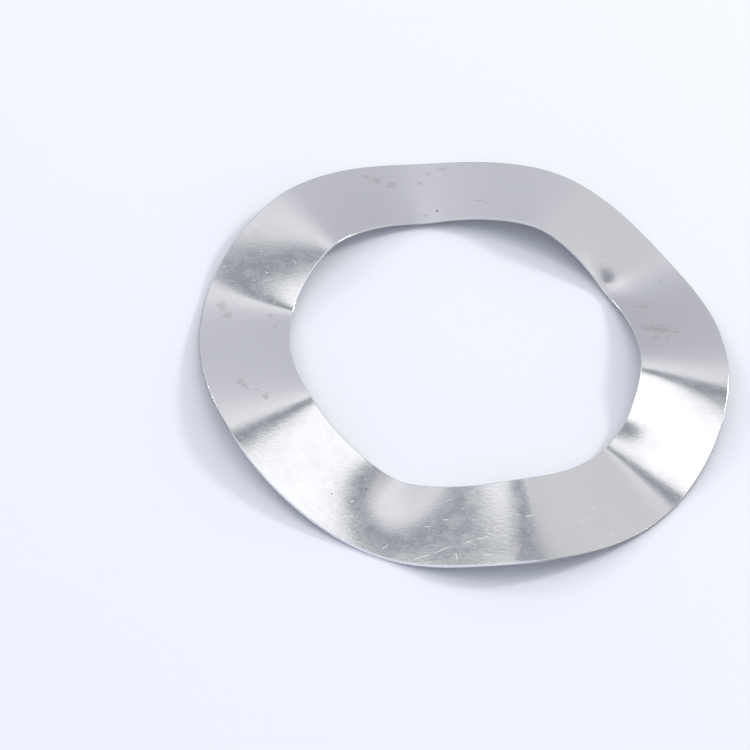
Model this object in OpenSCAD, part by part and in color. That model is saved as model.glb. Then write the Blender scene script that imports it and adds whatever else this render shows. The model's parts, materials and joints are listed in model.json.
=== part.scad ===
// Wave spring washer: a wide flat ring, blanked from thin stainless sheet and pressed into
// radial waves, so that it works as a low spring between a bearing and its seat. It is one
// piece. It lies on its troughs: Z is the ring's axis, z = 0 is the plane under the lowest
// troughs, and the first crest runs outwards close to +X.

/* [Blank] */
// Outside diameter of the ring
outside_d = 92; // [80:1:120]
// Diameter of the hole
hole_d = 61; // [40:1:70]
// Thickness of the sheet
sheet_t = 0.5; // [0.3:0.05:1]

/* [Waves] */
// Number of waves round the ring
wave_count = 5; // [3:1:7]
// Rise from trough to crest along the rim
rim_rise = 3.3; // [1:0.1:6]
// Rise from trough to crest along the hole's edge
hole_rise = 3.3; // [1:0.1:6]
// Height of the hole's edge over the rim, where the pressing cups the ring
cupping = 1.1; // [0:0.1:2]

/* [Dimple by the hole] */
// Angle of the dimple round the ring, in degrees from +X
dimple_angle = 40; // [0:1:359]
// Distance of its middle from the hole's edge
dimple_inset = 0.7; // [0:0.1:8]
// Length of the dimple along the ring
dimple_l = 12; // [5:0.5:20]
// Width of the dimple across the ring
dimple_w = 10; // [5:0.5:20]
// Depth of the dimple
dimple_depth = 0.35; // [0:0.05:0.8]

/* [Dent on the hole's edge] */
// Angle of the edge dent round the ring
lip_dent_angle = 343; // [0:0.5:359.5]
// Distance of its middle from the hole's edge, less than 0 where that is inside the hole
lip_dent_inset = -0.8; // [-4:0.1:8]
// Length of the edge dent along the ring
lip_dent_l = 13.5; // [6:0.5:20]
// Width of the edge dent across the ring
lip_dent_w = 18; // [6:0.5:25]
// Depth of the edge dent
lip_dent_depth = 0.45; // [0:0.05:0.8]

/* [Broad hollow in a trough] */
// Angle of the hollow round the ring
hollow_angle = 253; // [0:1:359]
// Distance of its middle from the hole's edge, less than 0 where that is inside the hole
hollow_inset = -6; // [-8:0.5:12]
// Length of the hollow along the ring
hollow_l = 15.5; // [10:0.5:35]
// Width of the hollow across the ring
hollow_w = 31.5; // [10:0.5:40]
// Depth of the hollow
hollow_depth = 1.2; // [0:0.05:1.5]

/* [Bulge by the rim] */
// Angle of the bulge round the ring
bulge_angle = 277; // [0:1:359]
// Distance of its middle from the hole's edge
bulge_inset = 20; // [4:0.5:25]
// Length of the bulge along the ring
bulge_l = 16.5; // [8:0.5:25]
// Width of the bulge across the ring
bulge_w = 33; // [8:0.5:40]
// Rise of the bulge over the sheet round it
bulge_rise = 0.2; // [0:0.05:0.5]

/* [Hidden] */
rim_r = outside_d / 2;
hole_r = hole_d / 2;
band_w = rim_r - hole_r;

// The sheet is pressed a little wider than the ring, and both edges are then blanked round.
blanking_margin = 1;
sheet_in_r = hole_r - blanking_margin;
sheet_out_r = rim_r + blanking_margin;

// The press leaves no two folds quite alike. A row for each, crests and troughs in turn from
// the crest by +X: the degrees it is turned at the hole's edge and at the rim, its height
// there as a share of an even wave's, and its roundness there, from 0.2 for a sharp fold to
// 0.85 for a round bend.
folds = [
    [1.5, 2.5, 0.87, 1.23, 0.5, 0.45],
    [0.5, 3.5, 1.1, 1, 0.55, 0.75],
    [-3, 0, 1, 1, 0.5, 0.75],
    [0, -2.5, 1.17, 1.02, 0.4, 0.7],
    [1.5, -3, 0.8, 0.89, 0.2, 0.4],
    [-4, -4.5, 0.71, 0.68, 0.2, 0.55],
    [-1.5, -1.5, 0.91, 1.19, 0.3, 0.65],
    [3, 5, 0.97, 1, 0.2, 0.85],
    [3, -2, 1.04, 0.96, 0.7, 0.5],
    [2, -0.5, 0.88, 0.95, 0.2, 0.85]
];
fold_count = 2 * wave_count;

// Facets from one fold to the next and rings of facets across the sheet, for smooth waves.
steps_round = 200;
fold_steps = floor(steps_round / fold_count);
around = fold_count * fold_steps;
rings = 10;

// Share of the way from the hole's edge to the rim, and a size that changes evenly on the way.
function across(r) = (r - hole_r) / band_w;
function graded(at_hole, at_rim, r) = at_hole + (at_rim - at_hole) * across(r);

// A size of one fold at one radius, from its column for the hole's edge and the next one.
function fold_size(fold, column, r) =
    let (row = folds[fold % fold_count % len(folds)])
    graded(row[column], row[column + 1], r);
function fold_angle(fold, r) = 180 / wave_count * fold + fold_size(fold, 0, r);
function fold_z(fold, r) =
    (fold % 2 == 0 ? 1 : -1) * graded(hole_rise, rim_rise, r) / 2 * fold_size(fold, 2, r);
function fold_roundness(fold, r) = fold_size(fold, 4, min(max(r, hole_r), rim_r));

// Angle round the ring at a share of the way from one fold to the next.
function angle_at(fold, share, r) =
    fold_angle(fold, r) + (fold_angle(fold + 1, r) - fold_angle(fold, r)) * share;

// Height of the wave there. It bends most at the folds, and more sharply at a less round one.
function wave_z(fold, share, r) =
    let (
        start_z = fold_z(fold, r),
        end_z = fold_z(fold + 1, r),
        eased = share * share * (3 - 2 * share),
        roundness = fold_roundness(fold, r) * (1 - eased) + fold_roundness(fold + 1, r) * eased,
        crease = sqrt(1 - roundness * roundness),
        wave = asin(crease * cos(180 * share)) / asin(crease)
    )
    (start_z + end_z) / 2 + (start_z - end_z) / 2 * wave;

// Slope of the wave along the ring, from two places a little apart.
slope_step = 0.01;
function slope(fold, share, r) =
    let (
        half_wave = (fold_angle(fold + 1, r) - fold_angle(fold, r)) * PI / 180 * r,
        rise = wave_z(fold, share + slope_step, r) - wave_z(fold, share - slope_step, r)
    )
    rise / (2 * slope_step * half_wave);

// Depth at one place of an oval dent in the sheet, which fades out at its length and width.
dent_fade = 8;
function dent(angle, r, dent_angle, inset, l, w, depth) =
    let (
        turn = (angle - dent_angle + 540) % 360 - 180,
        along = turn * PI / 180 * (hole_r + inset) / l,
        aside = (r - hole_r - inset) / w
    )
    depth * exp(-dent_fade * (along * along + aside * aside));

function all_dents(angle, r) =
    dent(angle, r, dimple_angle, dimple_inset, dimple_l, dimple_w, dimple_depth)
    + dent(angle, r, lip_dent_angle, lip_dent_inset, lip_dent_l, lip_dent_w, lip_dent_depth)
    + dent(angle, r, hollow_angle, hollow_inset, hollow_l, hollow_w, hollow_depth)
    - dent(angle, r, bulge_angle, bulge_inset, bulge_l, bulge_w, bulge_rise);

// Height of the sheet's middle over the ring's mean plane.
function middle_z(fold, share, r) =
    graded(cupping, 0, r) + wave_z(fold, share, r) - all_dents(angle_at(fold, share, r), r);

// Heights of the folds' ends, at the hole's edge and at the rim. The ring is lifted until the
// lowest of them just touches z = 0.
fold_ends = [for (fold = [0:fold_count - 1]) for (r = [hole_r, rim_r]) middle_z(fold, 0, r)];
lift = sheet_t / 2 - min(fold_ends);
free_height = lift + max(fold_ends) + sheet_t / 2;

// Height of one face of the sheet: side is 1 on top and -1 below. The offset grows with the
// slope, so that the sheet keeps its thickness square to its faces.
function face_z(fold, share, r, side) =
    lift + middle_z(fold, share, r)
    + side * sheet_t / 2 * sqrt(1 + pow(slope(fold, share, r), 2));

// The pressed sheet before blanking, as one closed skin of triangles.
module pressed_sheet() {
    side_points = (rings + 1) * around;
    function ring_r(i) = sheet_in_r + (sheet_out_r - sheet_in_r) * i / rings;
    function at(side, i, j) = (side + 1) / 2 * side_points + i * around + j % around;
    points = [
        for (side = [-1, 1]) for (i = [0:rings]) for (j = [0:around - 1])
            let (
                r = ring_r(i),
                fold = floor(j / fold_steps),
                share = j / fold_steps - fold,
                angle = angle_at(fold, share, r)
            )
            [r * cos(angle), r * sin(angle), face_z(fold, share, r, side)]
    ];
    top_faces = [
        for (i = [0:rings - 1]) for (j = [0:around - 1]) each [
            [at(1, i, j), at(1, i, j + 1), at(1, i + 1, j)],
            [at(1, i, j + 1), at(1, i + 1, j + 1), at(1, i + 1, j)]
        ]
    ];
    bottom_faces = [
        for (i = [0:rings - 1]) for (j = [0:around - 1]) each [
            [at(-1, i, j), at(-1, i + 1, j), at(-1, i, j + 1)],
            [at(-1, i, j + 1), at(-1, i + 1, j), at(-1, i + 1, j + 1)]
        ]
    ];
    edge_faces = [
        for (j = [0:around - 1]) each [
            [at(-1, 0, j), at(-1, 0, j + 1), at(1, 0, j)],
            [at(1, 0, j), at(-1, 0, j + 1), at(1, 0, j + 1)],
            [at(-1, rings, j), at(1, rings, j), at(-1, rings, j + 1)],
            [at(1, rings, j), at(1, rings, j + 1), at(-1, rings, j + 1)]
        ]
    ];
    polyhedron(points = points, faces = concat(top_faces, bottom_faces, edge_faces));
}

// A punch or die that reaches right through the pressed sheet.
module punch(d) {
    translate([0, 0, -blanking_margin])
        cylinder(h = free_height + 2 * blanking_margin, d = d, $fn = around);
}

module wave_washer() {
    color("silver")
        difference() {
            intersection() {
                pressed_sheet();
                punch(outside_d);
            }
            punch(hole_d);
        }
}

wave_washer();
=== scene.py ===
import json
from math import asin, atan2, cos, degrees, exp, hypot, pi, radians, sin, sqrt

import bpy
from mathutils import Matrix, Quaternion, Vector


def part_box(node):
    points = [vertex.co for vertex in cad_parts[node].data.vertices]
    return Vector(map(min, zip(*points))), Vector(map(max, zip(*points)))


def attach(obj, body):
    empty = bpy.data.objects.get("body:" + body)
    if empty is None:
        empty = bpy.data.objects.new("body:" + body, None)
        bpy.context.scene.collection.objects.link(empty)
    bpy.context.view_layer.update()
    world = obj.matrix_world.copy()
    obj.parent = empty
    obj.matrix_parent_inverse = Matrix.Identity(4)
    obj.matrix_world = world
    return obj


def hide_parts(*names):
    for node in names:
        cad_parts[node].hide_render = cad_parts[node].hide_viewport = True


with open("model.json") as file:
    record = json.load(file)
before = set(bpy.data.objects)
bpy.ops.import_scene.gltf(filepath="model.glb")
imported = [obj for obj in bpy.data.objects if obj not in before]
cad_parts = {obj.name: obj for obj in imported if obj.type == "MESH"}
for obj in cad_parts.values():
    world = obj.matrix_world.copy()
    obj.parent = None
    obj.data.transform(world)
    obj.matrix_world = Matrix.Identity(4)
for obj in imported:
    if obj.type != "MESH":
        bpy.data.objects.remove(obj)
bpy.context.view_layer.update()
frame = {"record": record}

MM = 0.001

# Wave washer: one ring of thin stainless spring sheet. A flat ring is blanked from the sheet,
# which leaves its cut edges a little rounded, and a press tool then folds radial waves into
# it. No two folds come out quite alike, and handling has left a few shallow dents in it.
box_low, box_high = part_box("wave_washer")
rim_r = box_high.x
hole_r = next(m for m in frame["record"]["mounts"] if m["name"] == "shaft_hole")["dims"]["r_mm"] * MM
band_w = rim_r - hole_r
sheet_t = 0.5 * MM
wave_count = 5
rim_rise = 3.3 * MM
hole_rise = 3.3 * MM
cupping = 1.1 * MM
# A row for each fold, crests and troughs in turn from the crest by +X: degrees it is turned at
# the hole's edge and at the rim, its height there as a share of an even wave's, and its
# roundness there, from near 0 for a sharp bend to 1 for a plain sine.
folds = (
    (1.5, 2.5, 0.87, 1.23, 0.5, 0.45),
    (0.5, 3.5, 1.1, 1, 0.55, 0.75),
    (-3, 0, 1, 1, 0.5, 0.75),
    (0, -2.5, 1.17, 1.02, 0.4, 0.7),
    (1.5, -3, 0.8, 0.89, 0.2, 0.4),
    (-4, -4.5, 0.71, 0.68, 0.2, 0.55),
    (-1.5, -1.5, 0.91, 1.19, 0.3, 0.65),
    (3, 5, 0.97, 1, 0.2, 0.85),
    (3, -2, 1.04, 0.96, 0.7, 0.5),
    (2, -0.5, 0.88, 0.95, 0.2, 0.85),
)
fold_count = 2 * wave_count
half_wave = 360 / fold_count
# Angle round the ring, distance of the middle from the hole's edge, length, width and depth of
# each dent. The fourth one is a bulge, so its depth is negative, and the last two are small
# knocks inside the first two.
dents = (
    (40, 0.7 * MM, 12 * MM, 10 * MM, 0.35 * MM),
    (343, -0.8 * MM, 13.5 * MM, 18 * MM, 0.45 * MM),
    (253, -6 * MM, 15.5 * MM, 31.5 * MM, 1.2 * MM),
    (277, 20 * MM, 16.5 * MM, 33 * MM, -0.2 * MM),
    (41, 1 * MM, 2.2 * MM, 3 * MM, 0.025 * MM),
    (340, -1.3 * MM, 7 * MM, 12 * MM, 0.045 * MM),
)
dent_fade = 8


def graded(at_hole, at_rim, r):
    """A size that changes evenly from the hole's edge to the rim."""
    return at_hole + (at_rim - at_hole) * (r - hole_r) / band_w


def fold_size(fold, column, r):
    """A size of one fold at one radius, from its column for the hole's edge and the next one."""
    row = folds[fold % fold_count]
    return graded(row[column], row[column + 1], r)


def fold_angle(fold, r):
    return fold * half_wave + fold_size(fold, 0, r)


def fold_z(fold, r):
    way = 1 if fold % 2 == 0 else -1
    return way * graded(hole_rise, rim_rise, r) / 2 * fold_size(fold, 2, r)


def angle_at(fold, share, r):
    """Angle round the ring at a share of the way from one fold to the next."""
    return fold_angle(fold, r) + (fold_angle(fold + 1, r) - fold_angle(fold, r)) * share


def wave_z(fold, share, r):
    """Height of the wave there, from a sine that is bent more sharply at its folds."""
    start_z = fold_z(fold, r)
    end_z = fold_z(fold + 1, r)
    eased = share * share * (3 - 2 * share)
    roundness = fold_size(fold, 4, r) * (1 - eased) + fold_size(fold + 1, 4, r) * eased
    crease = sqrt(1 - roundness * roundness)
    wave = asin(crease * cos(pi * share)) / asin(crease)
    return (start_z + end_z) / 2 + (start_z - end_z) / 2 * wave


def slope(fold, share, r):
    """Slope of the wave along the ring, from two places a little apart."""
    step = 0.01
    run = radians(fold_angle(fold + 1, r) - fold_angle(fold, r)) * r * 2 * step
    return (wave_z(fold, share + step, r) - wave_z(fold, share - step, r)) / run


def dents_z(angle, r):
    depth_here = 0
    for dent_angle, inset, length, width, depth in dents:
        off_angle = (angle - dent_angle + 540) % 360 - 180
        off_round = radians(off_angle) * (hole_r + inset) / length
        off_across = (r - hole_r - inset) / width
        depth_here += depth * exp(-dent_fade * (off_round * off_round + off_across * off_across))
    return depth_here


def middle_z(fold, share, r):
    return graded(cupping, 0, r) + wave_z(fold, share, r) - dents_z(angle_at(fold, share, r), r)


# The lowest trough just touches the table.
fold_ends = [middle_z(fold, 0, r) for fold in range(fold_count) for r in (hole_r, rim_r)]
lift = sheet_t / 2 - min(fold_ends)


def pressed(point):
    """Where the press moves a point of the flat blank, whose middle lies at z = 0."""
    r = hypot(point.x, point.y)
    folds_passed = (degrees(atan2(point.y, point.x)) % 360) / half_wave
    fold = int(folds_passed)
    share = folds_passed - fold
    angle = radians(angle_at(fold, share, r))
    z = lift + middle_z(fold, share, r) + point.z * sqrt(1 + slope(fold, share, r) ** 2)
    return Vector((r * cos(angle), r * sin(angle), z))


steps_round = 720
rings = 40
edge_ring = 0.2 * MM
edge_round = 0.16 * MM
edge_angle = 60
smooth_angle = 40

# The hole's edge is drawn as a circle and pulled outwards, ring by ring, into a flat sheet.
bpy.ops.object.select_all(action="DESELECT")
bpy.ops.mesh.primitive_circle_add(
    vertices=steps_round, radius=hole_r, fill_type="NOTHING", location=(0, 0, -sheet_t / 2)
)
washer = bpy.context.object
washer.name = "stainless_wave_washer"
bpy.ops.object.transform_apply(location=True)
bpy.ops.object.mode_set(mode="EDIT")
ring_radii = [hole_r + edge_ring + (band_w - 2 * edge_ring) * i / rings for i in range(rings + 1)]
radius_now = hole_r
for radius_next in ring_radii + [rim_r]:
    bpy.ops.mesh.extrude_region_move()
    grow = radius_next / radius_now
    bpy.ops.transform.resize(value=(grow, grow, 1), center_override=(0, 0, -sheet_t / 2))
    radius_now = radius_next
bpy.ops.mesh.select_all(action="SELECT")
bpy.ops.mesh.extrude_region_move(TRANSFORM_OT_translate={"value": (0, 0, sheet_t)})
bpy.ops.mesh.select_all(action="SELECT")
bpy.ops.mesh.normals_make_consistent(inside=False)
bpy.ops.object.mode_set(mode="OBJECT")
rounding = washer.modifiers.new("cut edges", "BEVEL")
rounding.width = edge_round
rounding.segments = 4
rounding.limit_method = "ANGLE"
rounding.angle_limit = radians(edge_angle)
bpy.ops.object.modifier_apply(modifier=rounding.name)
for vertex in washer.data.vertices:
    vertex.co = pressed(vertex.co)
bpy.ops.object.shade_smooth_by_angle(angle=radians(smooth_angle))


class Shade:
    """One output of a shader node, so that a pattern is written as a sum."""

    def __init__(self, tree, output=None):
        self.tree = tree
        self.output = output

    def node(self, kind, settings=None, inputs=None, output=0):
        """Adds any node: its settings first, then the values or links of its sockets."""
        made = self.tree.nodes.new(kind)
        for name, value in (settings or {}).items():
            setattr(made, name, value)
        for key, value in (inputs or {}).items():
            if isinstance(value, Shade):
                self.tree.links.new(value.output, made.inputs[key])
            else:
                made.inputs[key].default_value = value
        return Shade(self.tree, made.outputs[output] if made.outputs else None)

    def maths(self, operation, *others):
        return self.node(
            "ShaderNodeMath", {"operation": operation}, dict(enumerate((self,) + others))
        )

    def __add__(self, other):
        return self.maths("ADD", other)

    __radd__ = __add__

    def __sub__(self, other):
        return self.maths("SUBTRACT", other)

    def __rsub__(self, other):
        return (self * -1).maths("ADD", other)

    def __mul__(self, other):
        return self.maths("MULTIPLY", other)

    __rmul__ = __mul__

    def __truediv__(self, other):
        return self.maths("DIVIDE", other)


def rising(value, low, high):
    """0 below low and 1 above high, with a soft passage between them."""
    return value.node(
        "ShaderNodeMapRange",
        {"interpolation_type": "SMOOTHSTEP"},
        {"Value": value, "From Min": low, "From Max": high},
    )


def blended(share, tone, other_tone):
    """One colour where the share is 0 and the other where it is 1."""
    return share.node(
        "ShaderNodeMix",
        {"data_type": "RGBA"},
        {"Factor": share, 6: tone, 7: other_tone},
        output=2,
    )


def length_of(vector):
    return vector.node("ShaderNodeVectorMath", {"operation": "LENGTH"}, {0: vector}, output="Value")


def part_of(vector, axis):
    return vector.node("ShaderNodeSeparateXYZ", {}, {0: vector}, output=axis)


# The sheet is bright rolled steel with a fine grain, scuffed, scratched and stained by handling.
steel = bpy.data.materials.new("stainless sheet")
steel.use_nodes = True
steel.node_tree.nodes.clear()
on_steel = Shade(steel.node_tree)
place = on_steel.node("ShaderNodeTexCoord", output="Object")
place_normal = on_steel.node("ShaderNodeTexCoord", output="Normal")


def mark(angle, inset, length, width, turn=0, soft=0.5, spot=place):
    """1 inside a long or round mark on the sheet, and 0 outside. turn is from the radius, and
    soft is the share of the mark's reach over which it fades out."""
    middle_r = hole_r + inset * MM
    middle = Vector((middle_r * cos(radians(angle)), middle_r * sin(radians(angle)), 0))
    reach = on_steel.node(
        "ShaderNodeMapping",
        {"vector_type": "TEXTURE"},
        {
            "Vector": spot,
            "Location": middle,
            "Rotation": (0, 0, radians(angle + turn)),
            "Scale": (length / 2 * MM, width / 2 * MM, 1),
        },
    )
    return 1 - rising(length_of(reach), 1 - soft, 1)


def noise(vector, scale, detail=2, roughness=0.5, output=0):
    return on_steel.node(
        "ShaderNodeTexNoise",
        {},
        {"Vector": vector, "Scale": scale, "Detail": detail, "Roughness": roughness},
        output=output,
    )


# Scratches and nicks: angle round the ring, distance from the hole's edge, length and turn
# from the radius. They catch the lamps where the sheet mirrors something dark. Here and in the
# next tables lengths are in mm.
scratches = (
    (281, 3.1, 2.1, -79),
    (291, 7.1, 2.3, -82),
    (280.3, 9.7, 1.3, 53),
    (279.5, 10.2, 0.8, 66),
    (279.8, 8.9, 0.9, 48),
    (281.8, 6.9, 1.2, 48),
    (265.7, 14, 3.3, -64),
    (269.7, 12.4, 3.6, -60),
    (275.4, 10.9, 2, -67),
    (278.2, 10.4, 2.2, -84),
    (270.2, 2.7, 1, -72),
    (269.8, 6.6, 1.3, -87),
    (246.2, 8.3, 1, -33),
    (247.4, 11.1, 2.5, -54),
    (257.8, 13.4, 1.7, -36),
    (265.7, 8.1, 1.2, -83),
    (272.9, 13.6, 1.8, 13),
    (279.4, 13.6, 2.4, 86),
    (277, 1.1, 1.4, -70),
    (174.6, 13.2, 0.9, 8),
    (248.3, 12, 0.4, 0),
    (271.8, 11.7, 0.4, 0),
    (269.5, 2.9, 0.4, 0),
    (165.7, 9, 0.35, 0),
    (167.5, 8.5, 0.35, 0),
    (166, 14.4, 0.35, 0),
    (158.5, 10, 0.35, 0),
)
scratch_w = 0.24
scratched = 0
for angle, inset, length, turn in scratches:
    scratched = mark(angle, inset, length, scratch_w, turn) + scratched

# Stains: dull streaks and patches where fingers or water dried, and three older scratches.
# Width comes after the length.
stains = (
    (16.6, 5.4, 5.4, 3, -6),
    (17.6, 3, 4.4, 2.6, -14),
    (18.2, 5.6, 3.4, 0.5, -10),
    (15.6, 7.4, 2.6, 0.6, -3),
    (13, 5.4, 1, 2.4, 0),
    (13.4, 3.4, 2.4, 0.9, 12),
    (27.6, 4.2, 3, 1.6, -14),
    (99.6, 14, 1.4, 2.4, 0),
    (103.6, 12.6, 1.8, 1.4, 30),
    (106, 10.4, 1.8, 1.4, 0),
    (95.2, 14.6, 0.8, 1, 0),
    (107.4, 1.9, 0.8, 2, 0),
    (90, 4.6, 4.6, 0.6, 62),
    (114, 10.2, 1.8, 3, 0),
    (117.6, 11.6, 2.6, 3.4, 20),
    (119.4, 13, 1.8, 1.8, 0),
    (177.4, 12.4, 2.4, 4, 10),
    (180, 11, 2, 3.6, -10),
    (178.2, 3.7, 1.2, 1.2, 0),
    (182.7, 2.6, 1, 1, 0),
    (203.6, 10, 2.2, 3.4, 0),
    (205.4, 9.4, 2.8, 0.5, -63),
    (207.6, 7.8, 2.7, 0.5, -41),
    (209.8, 7, 1.4, 2, -20),
)
# The drying water gave them ragged outlines.
wander_w = 2.4 * MM
wander = on_steel.node(
    "ShaderNodeVectorMath",
    {"operation": "SUBTRACT"},
    {0: noise(place, 800, 3, 0.6, output="Color"), 1: (0.5, 0.5, 0.5)},
)
ragged_place = on_steel.node(
    "ShaderNodeVectorMath",
    {"operation": "MULTIPLY_ADD"},
    {0: wander, 1: (wander_w, wander_w, 0), 2: place},
)
stained = 0
for angle, inset, length, width, turn in stains:
    stained = mark(angle, inset, length, width, turn, soft=0.9, spot=ragged_place) + stained
# Dark specks of dirt: angle round the ring, distance from the hole's edge and size.
specks = ((103.3, 2.7, 0.55), (241.3, 9.4, 0.3), (247.3, 4.8, 0.35), (35, 11, 0.3))
specked = 0
for angle, inset, size in specks:
    specked = mark(angle, inset, size, size) + specked

# Hairlines from handling run in a few directions all over the sheet. Each is a noise squeezed
# across its run.
hairline_scale = (450, 6000, 1)
hairlines = 0
for turn, offset in ((20, 0.1), (75, 0.3), (-40, 0.6)):
    streaks = on_steel.node(
        "ShaderNodeMapping",
        {},
        {
            "Vector": place,
            "Location": (offset, offset, 0),
            "Rotation": (0, 0, radians(turn)),
            "Scale": hairline_scale,
        },
    )
    hairlines = rising(noise(streaks, 1, 1), 0.64, 0.76) + hairlines

# The marks lie on the upper face. The cut edges are rougher, and the rim most of all. The rim's
# colour also carries painted light: a painted highlight round one angle and for some way on
# either side, and painted shade, a darker tone, the rest of the way round.
rim_highlight_angle = radians(254)
rim_highlight_full = radians(30)
rim_highlight_reach = radians(42)
facing = part_of(place_normal, "Z")
on_top = rising(facing, 0.5, 0.8)
cut_edge = 1 - rising(facing.maths("ABSOLUTE"), 0.25, 0.55)
radius = length_of(place)
rim_highlight_side = on_steel.node(
    "ShaderNodeVectorMath",
    {"operation": "DOT_PRODUCT"},
    {0: place, 1: (cos(rim_highlight_angle), sin(rim_highlight_angle), 0)},
    output="Value",
)
rim = (1 - rising(facing, 0.8, 0.96)) * rising(radius, rim_r - 1 * MM, rim_r - 0.5 * MM)
# Painted highlight: the rim is painted lighter round one angle and for some way on either side.
painted_rim_highlight = rim * rising(rim_highlight_side / radius, cos(rim_highlight_reach), cos(rim_highlight_full))
# Painted shade: the rest of the rim is painted darker, which dims the lamps' glints on it.
painted_rim_shade = rim - painted_rim_highlight
blotches = 0.6 + 0.4 * rising(noise(place, 1500, 3), 0.35, 0.6)
dirt = stained.maths("MINIMUM", 1) * blotches * on_top
speck = specked * on_top
grain = noise(place, 1900, 3, 0.6)
pits = rising(noise(place, 2400, 1), 0.6, 0.72)
flecks = rising(noise(place, 1700, 1), 0.7, 0.76)
cloud = noise(place, 110, 2)
haze = rising(noise(place, 420, 3, 0.6), 0.42, 0.66)
ragged = 0.35 + 0.65 * rising(noise(place, 3200, 1), 0.4, 0.6)
worn = (scratched * ragged + hairlines * 0.05 + flecks * 0.35).maths("MINIMUM", 1) * on_top
grain_depth = 0.0042 * MM
bump = on_steel.node(
    "ShaderNodeBump", {}, {"Strength": 1, "Distance": grain_depth, "Height": grain + pits * 0.35}
)
roughness = 0.098 + 0.05 * cloud + 0.03 * haze + 0.35 * worn + 0.2 * cut_edge + 0.1 * dirt
roughness = roughness + 0.45 * painted_rim_shade
rolled_tone = (0.665, 0.668, 0.68, 1)
stain_tone = (0.53, 0.522, 0.522, 1)
# The rim's painted highlight tone and its painted shade tone.
painted_rim_highlight_tone = (0.92, 0.92, 0.94, 1)
painted_rim_shade_tone = (0.4, 0.4, 0.41, 1)
steel_tone = blended(dirt, rolled_tone, stain_tone)
steel_tone = blended(painted_rim_highlight, steel_tone, painted_rim_highlight_tone)
steel_tone = blended(painted_rim_shade, steel_tone, painted_rim_shade_tone)
steel_tone = on_steel.node(
    "ShaderNodeVectorMath", {"operation": "SCALE"}, {0: steel_tone, "Scale": 1 - 0.8 * speck}
)
surface = on_steel.node(
    "ShaderNodeBsdfPrincipled",
    {},
    {
        "Base Color": steel_tone,
        "Metallic": 1,
        "Roughness": roughness,
        "Normal": bump,
    },
)
surface.node("ShaderNodeOutputMaterial", {}, {"Surface": surface})
washer.data.materials.append(steel)
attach(washer, "root")
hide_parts("wave_washer")

# Floor: a pale matt table top that runs out of sight. It is one flat disc, and far out it takes
# the room's own tone, so that no edge of it shows.
floor_r = 8
fade_from = 0.5
fade_to = 3
backdrop_light = 0.9
backdrop_tone = (0.985, 1.02, 1.09, 1)
bpy.ops.object.select_all(action="DESELECT")
bpy.ops.mesh.primitive_circle_add(vertices=128, radius=floor_r, fill_type="NGON")
floor = bpy.context.object
floor.name = "floor"
table_top = bpy.data.materials.new("table top")
table_top.use_nodes = True
table_top.node_tree.nodes.clear()
on_table = Shade(table_top.node_tree)
distance = length_of(on_table.node("ShaderNodeTexCoord", output="Object"))
near_table = on_table.node("ShaderNodeBsdfDiffuse", {}, {"Color": (0.88, 0.893, 0.925, 1)})
far_table = on_table.node(
    "ShaderNodeEmission", {}, {"Color": backdrop_tone, "Strength": backdrop_light}
)
table_mix = on_table.node(
    "ShaderNodeMixShader", {}, {0: rising(distance, fade_from, fade_to), 1: near_table, 2: far_table}
)
on_table.node("ShaderNodeOutputMaterial", {}, {"Surface": table_mix})
floor.data.materials.append(table_top)

# Lamps: one wide softbox overhead, a little behind the washer and turned a little, and two
# smaller ones low behind it on either side, which throw its shadows forwards. The overhead
# one's edges are shares of its height. A light of 1 is a lamp whose own face looks white.
lamp_h = 3
lamp_side = 0.5
lamp_near = 0.05
lamp_far = 0.481
lamp_turn = -7
lamp_light = 1.24
lamp_middle = (lamp_near + lamp_far) / 2
lamp_half = (lamp_far - lamp_near) / 2
turned = Quaternion((0, 0, 1), radians(lamp_turn))
bpy.ops.object.light_add(type="AREA", location=turned @ Vector((0, lamp_middle * lamp_h, lamp_h)))
softbox = bpy.context.object
softbox.name = "overhead softbox"
softbox.rotation_euler.z = radians(lamp_turn)
softbox.data.shape = "RECTANGLE"
softbox.data.size = 2 * lamp_side * lamp_h
softbox.data.size_y = 2 * lamp_half * lamp_h
softbox.data.energy = pi * softbox.data.size * softbox.data.size_y * lamp_light
softbox.data.color = (1.005, 0.99, 0.975)
back_size = 0.2
back_distance = 1.2
for side, back_light in ((-1, 11), (1, 34)):
    toward = Vector((0.69 * side, 0.46, 0.56)).normalized()
    bpy.ops.object.light_add(type="AREA", location=toward * back_distance)
    back_lamp = bpy.context.object
    back_lamp.name = "back softbox left" if side < 0 else "back softbox right"
    back_lamp.rotation_euler = toward.to_track_quat("Z", "Y").to_euler()
    back_lamp.data.shape = "SQUARE"
    back_lamp.data.size = back_size
    back_lamp.data.energy = pi * back_size * back_size * back_light
    back_lamp.data.color = (1, 0.99, 0.95)

# Room: a dark gap of ceiling round the softbox but for the side where the camera stands, then
# pale walls that grow dimmer towards the floor. It is worked out from the direction alone.
room = bpy.data.worlds.new("room")
bpy.context.scene.world = room
room.use_nodes = True
room.node_tree.nodes.clear()
in_room = Shade(room.node_tree)
direction = in_room.node("ShaderNodeTexCoord", output="Generated")
sideways = part_of(direction, "X")
away = part_of(direction, "Y")
upwards = part_of(direction, "Z")
height = upwards.maths("MAXIMUM", 0.05)
ceiling_turn = radians(lamp_turn)
over_x = (sideways * cos(ceiling_turn) + away * sin(ceiling_turn)) / height
over_y = (away * cos(ceiling_turn) - sideways * sin(ceiling_turn)) / height
past_x = (over_x.maths("ABSOLUTE") - lamp_side).maths("MAXIMUM", 0)
past_y = ((over_y - lamp_middle).maths("ABSOLUTE") - lamp_half).maths("MAXIMUM", 0)
past = (past_x * past_x + past_y * past_y).maths("SQRT")
gap_w = 0.136
gap_soft = 0.015
gap_end = 0.1
gap_light = 0.33
wall_share = rising(past, gap_w - gap_soft, gap_w + gap_soft)
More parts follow.
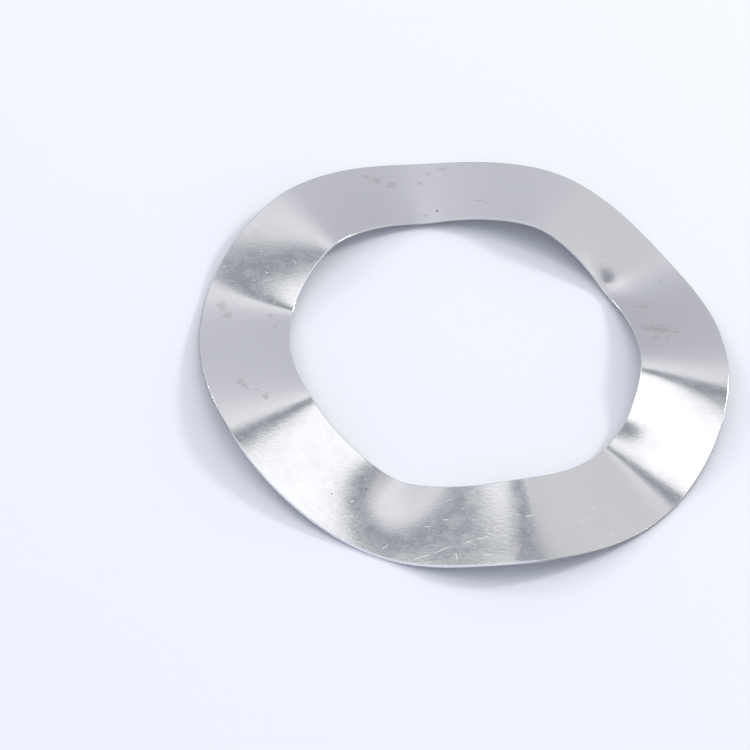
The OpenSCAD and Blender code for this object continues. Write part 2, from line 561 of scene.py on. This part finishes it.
wall_share = wall_share.maths("MAXIMUM", rising(over_y * -1, -lamp_near, gap_end - lamp_near))
low_down = (1 - upwards * upwards).maths("MAXIMUM", 0).maths("SQRT")
wall_light = 1.19
wall_light_low = 0.67
right_wall_light = 0.87
wall = wall_light - (wall_light - wall_light_low) * rising(low_down, 0.52, 0.95)
right_side = rising(sideways, 0.17, 0.33) * (1 - rising(low_down, 0.85, 1))
wall = wall + (right_wall_light - wall) * right_side
camera_side = rising(away * -1, 0.05, 0.35)
wall = wall * (1 - 0.35 * camera_side)
backdrop = rising(low_down, 0.95, 0.985)
wall = wall + (backdrop_light - wall) * backdrop
light = gap_light + (wall - gap_light) * wall_share
gap_tone = (0.94, 1.007, 1.13, 1)
upper_wall_tone = (0.985, 0.985, 1.015, 1)
lower_wall_tone = (0.975, 0.98, 1.05, 1)
camera_side_tone = (0.9, 0.97, 1.16, 1)
lower_wall = rising(low_down, 0.55, 0.85) * (1 - right_side)
wall_tone = blended(lower_wall, upper_wall_tone, lower_wall_tone)
wall_tone = blended(camera_side, wall_tone, camera_side_tone)
wall_tone = blended(backdrop, wall_tone, backdrop_tone)
tone = blended(wall_share, gap_tone, wall_tone)
sky = in_room.node("ShaderNodeBackground", {}, {"Color": tone, "Strength": light})
in_room.node("ShaderNodeOutputWorld", {}, {"Surface": sky})

# Camera: a long lens that looks down on the washer from in front, tilted a little to one side
# and aimed at a place left of its middle.
looks_at = Vector((-14.8 * MM, -8.7 * MM, 1.95 * MM))
camera_place = Vector((-20.6 * MM, -258.7 * MM, 306.4 * MM))
camera_roll = 9.61
bpy.ops.object.camera_add(location=camera_place)
camera = bpy.context.object
camera.data.lens = 110.6
camera.data.sensor_width = 36
aim = (looks_at - camera_place).to_track_quat("-Z", "Y")
camera.rotation_mode = "QUATERNION"
camera.rotation_quaternion = aim @ Quaternion((0, 0, 1), radians(camera_roll))
camera.data.clip_start = 0.01
camera.data.clip_end = 30
bpy.context.scene.camera = camera
bpy.context.scene.view_settings.view_transform = "Standard"
